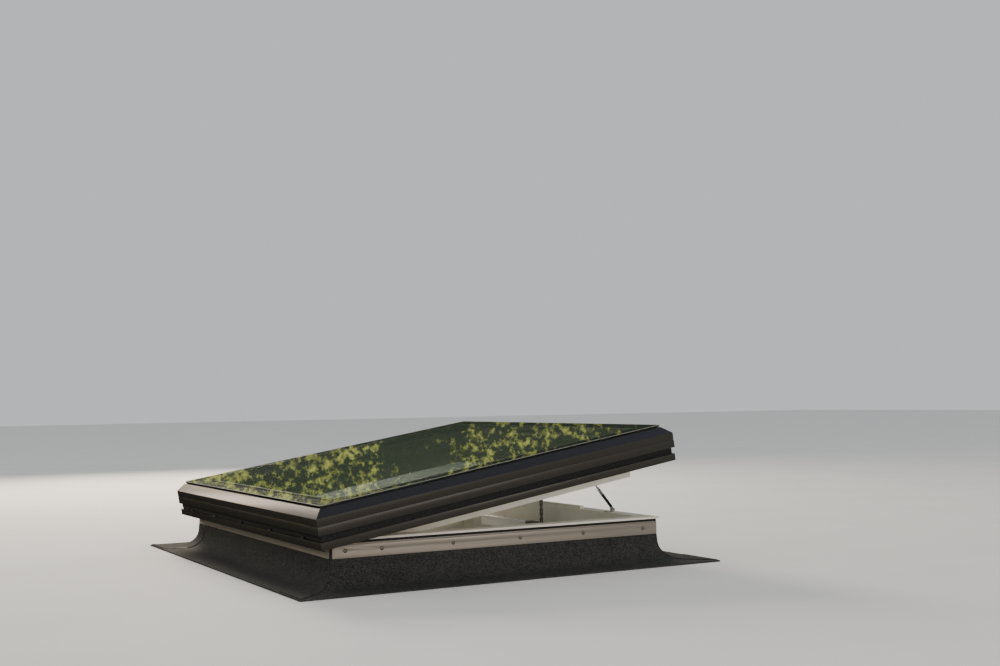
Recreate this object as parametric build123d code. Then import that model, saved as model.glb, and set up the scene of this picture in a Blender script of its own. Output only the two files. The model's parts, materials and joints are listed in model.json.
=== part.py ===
from build123d import *
import os
from math import atan2, cos, radians, sin, tan

# Opening skylight for a flat roof, in millimetres. The origin is on the roof under the middle
# of the kerb, +X runs from the hinge side to the opening side, +Y to the back and +Z up.
# Depths are measured inwards from the clamping strips' faces on the base, and inwards from the
# aluminium's faces on the sash. Pieces of the sash are drawn closed and then turned open.

# Base
base_x = 1100.0  # over the faces of the clamping strips
base_y = 1245.0
felt = 4.0  # thickness of the bitumen felt
apron = 138.0  # how far the felt lies out over the roof
strip_bottom = 83.0  # lower edge of the strips above the roof
flare_drop = 25.0  # from the strips' lower edge down to where the felt starts to curve
flare_lean = 2.0  # how far the felt leans out over that drop
fillet_toe = 80.0  # angle in degrees at which the fillet board under the curve ends
board_gap = 0.3  # between the fillet board and the felt or the kerb
strip_height = 40.0
strip_bar = 1.8  # thickness of a strip between its beads
strip_bead = 1.2  # how far the beads stand out
foot_bead = 2.6  # height of the bead along a strip's foot
top_groove = 34.4  # from a strip's foot to the groove under its top edge
groove_width = 2.2
gasket_height = 7.7
gasket_set = 1.5  # how far the gasket lies behind the strips' faces
lip_height = 6.6  # thickness of the frame's top wall and lip
lip_reach = 6.2  # how far the lip stands out past the strips
frame_width = 46.0  # from the strips' faces to the frame's inner face
frame_wall = 3.0
frame_edge = 1.2  # chamfers along the frame's top
foot_flange = 30.0  # flange inside the kerb's foot, for the fixing screws
foot_height = 4.0
fixing_hole = 3.5  # radius
fixing_inset = 60.0  # from the flange's corners to the nearest holes
foam_gap = 0.2  # around the foam in the kerb's chamber

# Ends and screws of the strips
front_gap = 7.0  # left open at the hinge side's end of the front and back strips
side_gap = 12.5  # left open at the front end of the side strips
screw_pitch = 223.0
screw_from_end = 53.0
screw_from_start = 38.0
screw_spare = 60.0  # least distance between the first two screws
screw_head = 5.5  # radius
screw_head_height = 3.0
screw_head_taper = 24.0  # degrees
screw_head_sides = 8
screw_shank = 2.4  # radius
screw_sides = 6
screw_fit = 0.05

# Sash
opening_angle = 9.65  # degrees, as it stands
overhang_x = 52.4  # of the aluminium past the strips' faces
overhang_y = 58.9
sash_drop = 17.9  # lower edge of the closed aluminium below the top of the frame
metal = 2.2  # wall of the aluminium profile
flange_set = 2.4  # lower flange behind the face above it
flange_height = 21.3
recess_set = 10.0
face_bottom = 40.8
line_height = 64.2  # line milled along the face
line_width = 1.8
line_depth = 1.4
chamfer_bottom = 86.7
glazing_height = 108.5  # the ledge that the outer pane is bonded to
chamfer_width = 24.0
metal_width = 44.0
drain_count = 5
drain_from_end = 142.0
drain_length = 14.0
drain_height = 5.0
drain_rise = 1.0  # above the ledge
cleat_leg = 85.0
cleat_height = 38.0
cleat_fit = 0.4

# White inner frame of the sash
lining_set = 108.5  # from the aluminium's face to the lining's outer face
lining_width = 18.0
lining_drop = 36.0  # below the lower edge of the aluminium
ceiling = 50.0  # underside above the lower edge of the aluminium
rebate_set = 69.0  # where the inner pane's rebate starts
rebate_depth = 21.9  # of the inner pane's rebate below the outer pane's ledge
nib_set = 56.5
nib_width = 6.0
nib_bottom = 28.0
plastic = 3.0  # wall of the hollow white profile
seal_swell = 0.5  # how far the seal is wider than its nib on each side
seal_gap = 0.3  # left between the seal and the frame

# Glass
outer_glass = 6.0
outer_inset = 27.0
tape_height = 2.1
tape_set = 31.0
tape_width = 12.0
inner_glass = 6.0
inner_inset = 72.0
glass_arris = 0.8
sealant_width = 12.0
spacer_width = 7.0
bed_set = 96.0  # gasket under the inner pane
bed_width = 24.0
bed_height = 2.0

# Hinges
hinge_count = 3
hinge_from_end = 182.0  # from the sash's end to the middle of the outer hinges
hinge_out = 14.0  # axis outside the strips' faces
hinge_rise = 3.7  # axis above the top of the frame
hinge_length = 90.0
hinge_leaf = 2.5
leaf_depth = 44.0  # of the frame's leaf, from the axis
shelf_depth = 24.0  # of the sash's leaf, from the axis
knuckle = 5.0  # radius
knuckle_sides = 12
middle_knuckle = 28.0
knuckle_gap = 0.4
pin_radius = 2.5
pin_fit = 0.05
leaf_screw = 3.6  # radius of the countersunk heads
leaf_screw_shank = 2.0
leaf_screw_sides = 8
leaf_screw_spread = 30.0
leaf_screw_inset = 11.0  # from the leaves' free edges
leaf_screw_spare = 0.2  # of the frame's wall left under the screws' tips

# Chain lift
chain_from_front = 544.0
chain_pin_set = 11.0  # from the lining's inner face to the chain's end pin
chain_pin_rise = 14.0  # above the lining's lower edge
link_count = 11
link_height = 10.0
link_plate = 1.5
inner_link = 5.6
link_gap = 0.15
link_pin = 2.0  # radius
link_pin_sides = 8
link_fit = 0.05
head_drop = 14.0  # from the end pin to the top link's pin
head_radius = 6.0
head_width = 12.0
lift_pin = 3.0  # radius
slot_play = 0.3
slot_reach = 4.4
lug = 2.5
lug_gap = 0.7
lug_margin = 3.0
bracket_plate = 3.0
bracket_foot = 2.0  # bracket's lower edge above the lining's
bracket_height = 38.0
bracket_width = 46.0
housing_inset = 77.5  # from the strip's face to the housing's nearer face
housing_width = 32.0
housing_height = 38.0
housing_top = 81.0  # above the roof
housing_length = 324.0
housing_round = 4.0
housing_wall = 2.5
lid_line = 7.0  # joint of the housing's lid, below its top
lid_groove = 0.8
outlet_before = 44.0  # of the outlet, in front of the chain
outlet_behind = 82.0
outlet_depth = 12.0
outlet_play = 1.7
last_link_drop = 4.0  # lowest link pin below the housing's top
end_cap = 4.0
cradle = 3.0  # thickness of the housing's brackets
cradle_width = 30.0
cradle_rise = 34.0
cradle_from_end = 62.0

# Cover on the opening side of the frame
cover_from_front = 370.0
cover_length = 480.0
cover_inset = 29.0
cover_width = 16.0
cover_height = 10.0
cover_edge = 1.5

# Gas spring
spring_inset = 21.0  # from the strip's face on the opening side
spring_foot_from_front = 207.4
spring_top_from_front = 442.0
spring_foot_rise = 8.0  # pin above the frame
spring_top_drop = 18.0  # pin below the sash's ceiling
spring_radius = 5.0
spring_length = 104.0  # from the foot's pin to the cylinder's mouth
spring_wall = 1.0
spring_foot = 14.0  # from the foot's pin to the tube
spring_plug = 4.0  # solid end of the tube
spring_mouth = 5.0
rod_radius = 2.5
rod_fit = 0.05
rod_inside = 18.0
rod_grip = 8.0  # how deep the rod sits in its end piece
piston_length = 8.0
eye_radius = 5.0
eye_width = 6.0
eye_shank = 3.6  # radius
eye_sides = 12
rod_end_length = 16.0
spring_pin = 2.5  # radius
spring_pin_fit = 0.05
foot_pin_reach = 5.0
top_pin_reach = 8.0
top_gap = 1.0  # from the rod's end to the sash's bracket
top_plate = 2.2
top_slot_front = 7.0
top_slot_back = 25.0
top_slot_up = 7.0
top_slot_down = 10.0
top_margin = 6.0
top_web = 2.8
top_shelf = 24.0
foot_plate = 2.2
foot_length = 44.0
foot_width = 19.0
foot_tab_gap = 2.0  # between the tab and the eye
foot_tab_width = 18.0
foot_tab_rise = 8.0

# Worked out from the sizes above
strip_deep = strip_bar + strip_bead
kerb_face = strip_deep + felt
strip_top = strip_bottom + strip_height
lip_bottom = strip_top + gasket_height
frame_top = lip_bottom + lip_height
sash_x = base_x + 2 * overhang_x
sash_y = base_y + 2 * overhang_y
sash_floor = frame_top - sash_drop
lining_inner = lining_set + lining_width
rebate_height = glazing_height - rebate_depth
inner_glass_height = rebate_height + bed_height
outer_glass_height = glazing_height + tape_height
hinge_x = -base_x / 2 - hinge_out
hinge_z = frame_top + hinge_rise
hinge_axis = Axis((hinge_x, 0, hinge_z), (0, -1, 0))
ring_reach = base_x / 2  # longest bar end that a mitre has to cut off


def turned(x, y, z, angle):
    """Where a point of the closed sash is when the sash is open by an angle in degrees."""
    dx, dz = x - hinge_x, z - hinge_z
    c, s = cos(radians(angle)), sin(radians(angle))
    return Vector(hinge_x + dx * c - dz * s, y, hinge_z + dx * s + dz * c)


def opened(shape):
    return shape.rotate(hinge_axis, opening_angle)


def face_inside(lines):
    """Face inside lines and arcs that meet end to end."""
    return make_face([edge for line in lines for edge in line.edges()])


def polygon(points):
    return face_inside([Polyline(*points, close=True)])


def sash_polygon(points):
    """Outline on the sash, with heights from the lower edge of the aluminium."""
    return polygon([(depth, sash_floor + height) for depth, height in points])


def rectangle(left, low, right, high):
    return polygon([(left, low), (right, low), (right, high), (left, high)])


def block(x0, y0, z0, x1, y1, z1):
    centre = Pos((x0 + x1) / 2, (y0 + y1) / 2, (z0 + z1) / 2)
    return centre * Box(abs(x1 - x0), abs(y1 - y0), abs(z1 - z0))


def bar_between(start, end, radius, sides=0):
    """Bar from one point to another, round unless it has flat sides."""
    run = end - start
    section = RegularPolygon(radius, sides) if sides else Circle(radius)
    return extrude(Plane(origin=start, z_dir=run) * section, amount=run.length)


def prism(sides, radius, length, taper=0.0):
    """Upright many-sided bar from the origin up."""
    return extrude(RegularPolygon(radius, sides), amount=length, taper=taper)


def mitred_bar(face, half_length, half_width):
    """Front bar of a ring: a section drawn inwards from the front, with 45 degree ends."""
    run = half_length + ring_reach
    plane = Plane(origin=(-run, -half_width, 0), x_dir=(0, 1, 0), z_dir=(1, 0, 0))
    bar = extrude(plane * face, amount=2 * run)
    inward = 0.9 * min(half_length, half_width)
    wedge = polygon(
        [
            (-run, -half_width - ring_reach),
            (run, -half_width - ring_reach),
            (half_length - inward, inward - half_width),
            (inward - half_length, inward - half_width),
        ]
    )
    tall = 2 * ring_reach
    return bar & extrude(Pos(0, 0, -tall) * wedge, amount=2 * tall)


def ring_sides(face, size_x, size_y):
    """Four mitred bars: front, opening side, back and hinge side."""
    sides = []
    for turn in range(4):
        along, across = (size_x, size_y) if turn % 2 == 0 else (size_y, size_x)
        sides.append(Rot(0, 0, 90 * turn) * mitred_bar(face, along / 2, across / 2))
    return sides


def welded_ring(face, size_x, size_y):
    front, opening, back, hinge = ring_sides(face, size_x, size_y)
    return front + opening + back + hinge


def flat_ring(size_x, size_y, outer, inner, low, high):
    """Rectangular ring between two depths and two heights."""
    x, y = size_x / 2, size_y / 2
    whole = block(outer - x, outer - y, low, x - outer, y - outer, high)
    return whole - block(inner - x, inner - y, low, x - inner, y - inner, high)


def sash_ring(outer, inner, low, high):
    return opened(flat_ring(sash_x, sash_y, outer, inner, sash_floor + low, sash_floor + high))


def felt_curve():
    """Centre and radius of the felt's curve on its weather side, and the lean above it."""
    lean = atan2(flare_lean, flare_drop)
    start = (strip_deep - flare_lean, strip_bottom - flare_drop)
    radius = (start[1] - felt) / (1 - sin(lean))
    return (start[0] - radius * cos(lean), felt + radius), radius, lean


def on_curve(reach, angle):
    centre = felt_curve()[0]
    return centre[0] + reach * cos(angle), centre[1] - reach * sin(angle)


def curve_arc(reach, first, last):
    """Arc about the felt curve's centre between two angles below the level."""
    middle = (first + last) / 2
    return ThreePointArc(on_curve(reach, first), on_curve(reach, middle), on_curve(reach, last))


def felt_side(offset):
    """One side of the felt, an offset in from its weather side."""
    _, radius, lean = felt_curve()
    foot = radians(90)
    reach = radius + offset
    depth = strip_deep + offset
    upper = Polyline((depth, strip_top), (depth, strip_bottom), on_curve(reach, lean))
    lower = Line(on_curve(reach, foot), (-apron, felt - offset))
    return [upper, curve_arc(reach, lean, foot), lower]


def felt_flashing():
    ends = [
        Line((strip_deep, strip_top), (kerb_face, strip_top)),
        Line((-apron, 0), (-apron, felt)),
    ]
    return welded_ring(face_inside(felt_side(0) + felt_side(felt) + ends), base_x, base_y)


def cant_fillet():
    """Fillet board that fills the foot between the kerb and the felt's curve."""
    _, radius, lean = felt_curve()
    reach = radius + felt + board_gap
    wall = kerb_face - board_gap
    toe = radians(fillet_toe)
    start, end = on_curve(reach, lean), on_curve(reach, toe)
    sides = Polyline(end, (end[0], 0), (wall, 0), (wall, start[1]), start)
    return welded_ring(face_inside([sides, curve_arc(reach, lean, toe)]), base_x, base_y)


def base_frame():
    """Hollow welded kerb and frame in one, with its lip and hinge pockets."""
    outline = polygon(
        [
            (kerb_face, 0),
            (kerb_face, lip_bottom),
            (-lip_reach, lip_bottom),
            (-lip_reach, frame_top - frame_edge),
            (frame_edge - lip_reach, frame_top),
            (frame_width - frame_edge, frame_top),
            (frame_width, frame_top - frame_edge),
            (frame_width, 0),
        ]
    )
    inner = frame_width - frame_wall
    chamber = rectangle(kerb_face + frame_wall, frame_wall, inner, lip_bottom)
    frame = welded_ring(outline - chamber, base_x, base_y)
    for y in hinge_places():
        frame -= frame_leaf_plate(y)
        frame -= [seat * countersunk(screw_fit) for seat in frame_leaf_seats(y)]
    return frame


def fixing_flange():
    """Flange welded inside the kerb's foot, with its screw holes."""
    flange = flat_ring(base_x, base_y, frame_width, frame_width + foot_flange, 0, foot_height)
    for x, y in fixing_places():
        flange -= Pos(x, y, foot_height / 2) * Cylinder(fixing_hole, 2 * foot_height)
    return flange


def fixing_places():
    """Holes in the fixing flange: four in the long sides and four in the short ones."""
    x = base_x / 2 - frame_width - foot_flange / 2
    y = base_y / 2 - frame_width - foot_flange / 2
    signs = [(i, j) for i in (-1, 1) for j in (-1, 1)]
    long_sides = [(i * x, j * (y - fixing_inset)) for i, j in signs]
    short_sides = [(i * (x - fixing_inset), j * y) for i, j in signs]
    return long_sides + short_sides


def frame_insulation():
    edge = frame_wall + foam_gap
    top = lip_bottom - foam_gap
    return flat_ring(base_x, base_y, kerb_face + edge, frame_width - edge, edge, top)


def frame_gasket():
    return flat_ring(base_x, base_y, gasket_set, kerb_face, strip_top, lip_bottom)


def strip_runs():
    """For each strip: its turn, half the base across it, its start and end, and if mirrored."""
    x, y = base_x / 2, base_y / 2
    return {
        "front": (0, y, front_gap - x, x, False),
        "opening_side": (90, x, side_gap - y, y, False),
        "back": (180, y, front_gap - x, x - front_gap, True),
        "hinge_side": (270, x, -y, y - side_gap, True),
    }


def screw_seats(name):
    """Places on a strip's face: an even pitch from its far end and one screw at its start."""
    turn, half, start, end, mirrored = strip_runs()[name]
    if mirrored:
        start, end = -end, -start
    places = [start + screw_from_start]
    place = end - screw_from_end
    while place > places[0] + screw_spare:
        places.append(place)
        place -= screw_pitch
    sign = -1 if mirrored else 1
    height = strip_bottom + strip_height / 2
    return [Rot(0, 0, turn) * Pos(sign * p, strip_bead - half, height) for p in places]


def clamp_strip(name):
    """Flat bar with a bead along its foot and a groove under its top edge."""
    turn, half, start, end, _ = strip_runs()[name]
    foot, top, groove = strip_bottom, strip_top, strip_bottom + top_groove
    slope = strip_bead / 2
    section = polygon(
        [
            (strip_deep, foot),
            (0, foot),
            (0, foot + foot_bead),
            (strip_bead, foot + foot_bead + slope),
            (strip_bead, groove),
            (strip_bead + slope, groove + slope),
            (strip_bead + slope, groove + groove_width - slope),
            (strip_bead, groove + groove_width),
            (strip_bead, top - slope),
            (strip_bead + slope, top),
            (strip_deep, top),
        ]
    )
    plane = Plane(origin=(start, -half, 0), x_dir=(0, 1, 0), z_dir=(1, 0, 0))
    strip = Rot(0, 0, turn) * extrude(plane * section, amount=end - start)
    return strip - [seat * screw_shank_bar(2 * strip_bar, screw_fit) for seat in screw_seats(name)]


def screw_shank_bar(length, slack=0.0):
    return Rot(-90, 0, 0) * prism(screw_sides, screw_shank + slack, length)


def strip_screw():
    """Screw through a strip: it points out along -Y and its head seats at the origin."""
    head = prism(screw_head_sides, screw_head, screw_head_height, screw_head_taper)
    return Rot(90, 0, 0) * head + screw_shank_bar(strip_bar)


def strip_screws():
    return [seat * strip_screw() for name in strip_runs() for seat in screw_seats(name)]


def sash_profiles():
    """Hollow aluminium section with its chamfer, recess and lower flange, mitred at the corners."""
    ledge = flange_height - metal
    flange_inner = flange_set + metal
    recess_inner = recess_set + metal
    outline = sash_polygon(
        [
            (flange_set, 0),
            (flange_set, flange_height),
            (recess_set, flange_height),
            (recess_set, face_bottom),
            (0, face_bottom),
            (0, line_height),
            (line_depth, line_height),
            (line_depth, line_height + line_width),
            (0, line_height + line_width),
            (0, chamfer_bottom),
            (chamfer_width, glazing_height),
            (metal_width, glazing_height),
            (metal_width, face_bottom),
            (recess_inner, face_bottom),
            (recess_inner, ledge),
            (flange_inner, ledge),
            (flange_inner, 0),
        ]
    )
    slack = 0.4 * metal
    chamber = sash_polygon(
        [
            (metal, face_bottom + metal),
            (metal, chamfer_bottom - slack),
            (chamfer_width + slack, glazing_height - metal),
            (metal_width - metal, glazing_height - metal),
            (metal_width - metal, face_bottom + metal),
        ]
    )
    front, opening, back, hinge = ring_sides(outline - chamber, sash_x, sash_y)
    low = sash_floor + flange_height + drain_rise
    outside, inside = -sash_x / 2, recess_inner + metal - sash_x / 2
    for y in evenly(drain_count, drain_from_end):
        half = drain_length / 2
        hinge -= block(outside, y - half, low, inside, y + half, low + drain_height)
    for y in hinge_places():
        hinge -= [seat * countersunk(screw_fit) for seat in sash_leaf_seats(y)]
    return {"front": front, "opening_side": opening, "back": back, "hinge_side": hinge}


def evenly(count, from_end):
    """Places along the sash's long side, the outer two a distance from its ends."""
    first = from_end - sash_y / 2
    return [first + i * (sash_y - 2 * from_end) / (count - 1) for i in range(count)]


def corner_cleats():
    """Cast keys in the corners of the aluminium's chamber."""
    edge = metal + cleat_fit
    low = sash_floor + face_bottom + edge
    ring = flat_ring(sash_x, sash_y, edge, metal_width - edge, low, low + cleat_height)
    reach = edge + cleat_leg
    x, y = sash_x / 2, sash_y / 2
    corners = []
    for i in (-1, 1):
        for j in (-1, 1):
            corner = block(i * x, j * y, 0, i * (x - reach), j * (y - reach), 2 * low)
            corners.append(opened(ring & corner))
    return corners


def sash_lining():
    """White welded frame inside the aluminium: rebate for the inner pane, seal nib and long leg."""
    outline = sash_polygon(
        [
            (metal_width, ceiling),
            (metal_width, glazing_height),
            (rebate_set, glazing_height),
            (rebate_set, rebate_height),
            (lining_inner, rebate_height),
            (lining_inner, -lining_drop),
            (lining_set, -lining_drop),
            (lining_set, ceiling),
            (nib_set + nib_width, ceiling),
            (nib_set + nib_width, nib_bottom),
            (nib_set, nib_bottom),
            (nib_set, ceiling),
        ]
    )
    chambers = [
        (metal_width + plastic, ceiling + plastic, rebate_set - plastic, glazing_height - plastic),
        (rebate_set, ceiling + plastic, lining_set - plastic, rebate_height - plastic),
        (lining_set + plastic, plastic - lining_drop, lining_inner - plastic, rebate_height - plastic),
    ]
    for left, low, right, high in chambers:
        outline -= rectangle(left, sash_floor + low, right, sash_floor + high)
    return opened(welded_ring(outline, sash_x, sash_y))


def sash_seal():
    """Bulb seal under the nib, just clear of the frame when the sash is shut."""
    left, right = nib_set - seal_swell, nib_set + nib_width + seal_swell
    low = sash_drop + seal_gap
    middle = (low + nib_bottom) / 2
    narrow = (right - left) / 3
    bulb = sash_polygon(
        [
            (left, nib_bottom),
            (right, nib_bottom),
            (right, middle),
            (right - narrow, low),
            (left + narrow, low),
            (left, middle),
        ]
    )
    return opened(welded_ring(bulb, sash_x, sash_y))


def pane(inset, low, thickness):
    x, y = sash_x / 2 - inset, sash_y / 2 - inset
    sheet = block(-x, -y, sash_floor + low, x, y, sash_floor + low + thickness)
    edges = sheet.edges().group_by(Axis.Z)
    return opened(chamfer(edges[0] + edges[-1], glass_arris))


def hinge_places():
    return evenly(hinge_count, hinge_from_end)


def frame_leaf_plate(y):
    """Flat of the frame's leaf, flush with the top of the frame."""
    half = hinge_length / 2
    return block(hinge_x, y - half, frame_top - hinge_leaf, hinge_x + leaf_depth, y + half, frame_top)


def leaf_screw_places(y):
    return y - leaf_screw_spread, y + leaf_screw_spread


def frame_leaf_seats(y):
    x = hinge_x + leaf_depth - leaf_screw_inset
    return [Pos(x, place, frame_top) for place in leaf_screw_places(y)]


def shelf_bottom():
    """Underside of the sash leaf's shelf, against the closed aluminium's chamber."""
    return sash_floor + face_bottom - hinge_leaf


def sash_leaf_seats(y):
    x = hinge_x - shelf_depth + leaf_screw_inset
    return [Pos(x, place, shelf_bottom()) * Rot(180, 0, 0) for place in leaf_screw_places(y)]


def countersunk(slack=0.0):
    """Countersunk screw pointing down, with its head flush at the origin."""
    length = lip_height - leaf_screw_spare + slack
    head = prism(leaf_screw_sides, leaf_screw + slack, leaf_screw - leaf_screw_shank, 45)
    return Rot(180, 0, 0) * (head + prism(leaf_screw_sides, leaf_screw_shank + slack, length))


def round_y(x, y0, y1, z, radius):
    """Round bar along Y."""
    return Pos(x, (y0 + y1) / 2, z) * Rot(90, 0, 0) * Cylinder(radius, y1 - y0)


def knuckle_bar(y0, y1):
    return Pos(hinge_x, y1, hinge_z) * Rot(90, 0, 0) * prism(knuckle_sides, knuckle, y1 - y0)


def hinge_frame_leaf(y):
    half, middle = hinge_length / 2, middle_knuckle / 2 + knuckle_gap
    notch = knuckle + knuckle_gap
    leaf = frame_leaf_plate(y) + knuckle_bar(y - half, y + half)
    leaf -= block(hinge_x - notch, y - middle, 0, hinge_x + notch, y + middle, 2 * hinge_z)
    leaf -= round_y(hinge_x, y - half, y + half, hinge_z, pin_radius)
    return leaf - [seat * countersunk(screw_fit) for seat in frame_leaf_seats(y)]


def hinge_sash_leaf(y):
    half, middle = hinge_length / 2, middle_knuckle / 2
    side = hinge_leaf / 2
    low, high = shelf_bottom(), shelf_bottom() + hinge_leaf
    leaf = knuckle_bar(y - middle, y + middle)
    leaf += block(hinge_x - side, y - middle, hinge_z, hinge_x + side, y + middle, high)
    leaf += block(hinge_x - shelf_depth, y - half, low, hinge_x + side, y + half, high)
    leaf -= round_y(hinge_x, y - middle, y + middle, hinge_z, pin_radius + pin_fit)
    return opened(leaf - [seat * countersunk(screw_fit) for seat in sash_leaf_seats(y)])


def hinge_pin(y):
    half = hinge_length / 2
    return round_y(hinge_x, y - half, y + half, hinge_z, pin_radius)


def chain_y():
    return chain_from_front - base_y / 2


def chain_pin_point(angle):
    """Centre of the chain's end pin with the sash open by an angle in degrees."""
    x = sash_x / 2 - lining_inner - chain_pin_set
    return turned(x, chain_y(), sash_floor - lining_drop + chain_pin_rise, angle)


def link_pitch():
    top = chain_pin_point(opening_angle).Z - head_drop
    return (top - housing_top + last_link_drop) / link_count


def across_chain(x0, x1, z, radius):
    """Link pin, or its hole, between two faces across the chain."""
    return Pos(x0, 0, z) * Rot(0, 90, 0) * prism(link_pin_sides, radius, x1 - x0)


def link_bar(x0, x1, length):
    """Upright link with bevelled ends between two faces across the chain, its pins a length apart."""
    end, side = link_height / 2, link_height / 2 * tan(radians(22.5))
    quarter = [(length / 2 + end, side), (length / 2 + side, end)]
    upper = quarter + [(-x, y) for x, y in reversed(quarter)]
    outline = polygon(upper + [(x, -y) for x, y in reversed(upper)])
    plane = Plane(origin=(x0, 0, length / 2), x_dir=(0, 0, 1), z_dir=(1, 0, 0))
    return extrude(plane * outline, amount=x1 - x0)


def outer_link():
    """Two plates riveted on two pins."""
    inner = inner_link / 2 + link_gap
    outer = inner + link_plate
    link = link_bar(-outer, -inner, link_pitch()) + link_bar(inner, outer, link_pitch())
    for z in (0, link_pitch()):
        link += across_chain(-outer, outer, z, link_pin)
    return link


def inner_bar(length):
    """Solid link between the plates, bored for its pins."""
    half = inner_link / 2
    link = link_bar(-half, half, length)
    for z in (0, length):
        link -= across_chain(-half, half, z, link_pin + link_fit)
    return link


def chain_links():
    """Chain from inside the outlet up to the head, outer and inner links in turn."""
    pin = chain_pin_point(opening_angle)
    low = housing_top - last_link_drop
    kinds = (outer_link(), inner_bar(link_pitch()))
    return [Pos(pin.X, pin.Y, low + i * link_pitch()) * kinds[i % 2] for i in range(link_count)]


def chain_head():
    """End piece of the chain: a tongue in the top link and an eye on the sash's pin."""
    pin = chain_pin_point(opening_angle)
    head = Pos(0, 0, -head_drop) * inner_bar(head_drop)
    head += round_y(0, -head_width / 2, head_width / 2, 0, head_radius)
    head -= round_y(0, -head_width, head_width, 0, lift_pin)
    return Pos(pin.X, pin.Y, pin.Z) * head


def chain_pin():
    pin = chain_pin_point(opening_angle)
    reach = head_width / 2 + lug_gap + lug + lug_gap
    return round_y(pin.X, pin.Y - reach, pin.Y + reach, pin.Z, lift_pin)


def chain_bracket():
    """Plate on the lining's inner face, with two slotted lugs round the chain's head."""
    pin = chain_pin_point(0)
    face = sash_x / 2 - lining_inner
    foot = sash_floor - lining_drop + bracket_foot
    half = bracket_width / 2
    bracket = block(face - bracket_plate, pin.Y - half, foot, face, pin.Y + half, foot + bracket_height)
    hole = lift_pin + slot_play
    middle = Pos(-slot_reach / 2, 0)
    outline = middle * SlotCenterToCenter(slot_reach, 2 * (hole + lug_margin))
    outline += rectangle(-slot_reach / 2, -hole - lug_margin, face - pin.X, hole + lug_margin)
    outline -= middle * SlotCenterToCenter(slot_reach, 2 * hole)
    near = head_width / 2 + lug_gap
    for side in (-near, near + lug):
        plane = Plane(origin=(pin.X, pin.Y + side, pin.Z), x_dir=(1, 0, 0), z_dir=(0, -1, 0))
        bracket += extrude(plane * outline, amount=lug)
    return opened(bracket)


def housing_face():
    return base_x / 2 - housing_inset


def housing_section():
    """Outline of the actuator with rounded edges and the groove of its lid, about its middle."""
    section = RectangleRounded(housing_width, housing_height, housing_round)
    for side in (-1, 1):
        middle = Pos(side * housing_width / 2, housing_height / 2 - lid_line)
        section -= middle * Rectangle(2 * lid_groove, 2 * lid_groove)
    return section


def housing_hollow():
    return Rectangle(housing_width - 2 * housing_wall, housing_height - 2 * housing_wall)


def along_housing(section, y0, y1):
    """Extrudes a section of the actuator from one Y to another."""
    x, z = housing_face() - housing_width / 2, housing_top - housing_height / 2
    plane = Plane(origin=(x, y1, z), x_dir=(1, 0, 0), z_dir=(0, -1, 0))
    return extrude(plane * section, amount=y1 - y0)


def outlet_end():
    return chain_y() + outlet_behind


def actuator_housing():
    start = outlet_end()
    return along_housing(housing_section() - housing_hollow(), start, start + housing_length)


def actuator_end_cap():
    start = outlet_end() + housing_length
    return along_housing(housing_section(), start, start + end_cap)


def chain_outlet():
    """Grey end of the actuator, with the pocket that the chain comes out of."""
    outlet = along_housing(housing_section(), chain_y() - outlet_before, outlet_end())
    ends = [chain_pin_point(0).X, chain_pin_point(opening_angle).X]
    side = inner_link / 2 + link_gap + link_plate + outlet_play
    across = head_width / 2 + outlet_play
    low = housing_top - outlet_depth
    left = min(ends) - side
    right = min(max(ends) + side, housing_face() - 2 * lid_groove)
    return outlet - block(left, chain_y() - across, low, right, chain_y() + across, 2 * housing_top)


def actuator_bracket(y):
    """Angle that carries the actuator on the frame's inner face."""
    wall = base_x / 2 - frame_width
    low = housing_top - housing_height - cradle
    half = cradle_width / 2
    bracket = block(housing_face() - housing_width, y - half, low, wall, y + half, low + cradle)
    return bracket + block(wall - cradle, y - half, low, wall, y + half, low + cradle + cradle_rise)


def cover_block():
    """Raised cover on the opening side of the frame."""
    outer = base_x / 2 - cover_inset
    front = cover_from_front - base_y / 2
    top = frame_top + cover_height
    cover = block(outer - cover_width, front, frame_top, outer, front + cover_length, top)
    return chamfer(cover.edges().group_by(Axis.Z)[-1], cover_edge)


def spring_foot_point():
    front = spring_foot_from_front - base_y / 2
    return Vector(base_x / 2 - spring_inset, front, frame_top + spring_foot_rise)


def spring_top_point(angle):
    x, y = base_x / 2 - spring_inset, spring_top_from_front - base_y / 2
    return turned(x, y, sash_floor + ceiling - spring_top_drop, angle)


def spring_line():
    """Foot, direction and length of the gas spring as it stands, and the axis it swings about."""
    foot, top = spring_foot_point(), spring_top_point(opening_angle)
    shut = spring_top_point(0) - foot
    run = top - foot
    return foot, run.normalized(), run.length, shut.cross(run).normalized()


def spring_foot_bracket():
    """Angle on the frame: its tab stands beside the gas spring's lower eye."""
    foot = spring_foot_point()
    face = foot.X - eye_width / 2 - foot_tab_gap
    half, tab = foot_length / 2, foot_tab_width / 2
    plate = block(face - foot_width, foot.Y - half, frame_top, face, foot.Y + half, frame_top + foot_plate)
    upright = block(face - foot_plate, foot.Y - tab, frame_top, face, foot.Y + tab, foot.Z + foot_tab_rise)
    return plate + upright


def spring_foot_stud():
    """Pin from the bracket's tab through the lower eye."""
    foot, _, _, swing = spring_line()
    face = foot.X - eye_width / 2 - foot_tab_gap
    pin = bar_between(foot - swing * foot_width, foot + swing * foot_pin_reach, spring_pin)
    reach = 2 * foot_width
    return pin - block(face - reach, foot.Y - reach, foot.Z - reach, face, foot.Y + reach, foot.Z + reach)


def spring_eye(centre, towards):
    """Flat eye about the swing axis, with a shank to a point."""
    half = spring_line()[3] * (eye_width / 2)
    eye = bar_between(centre - half, centre + half, eye_radius, eye_sides)
    return eye + bar_between(centre, towards, eye_shank, eye_sides)


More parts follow.
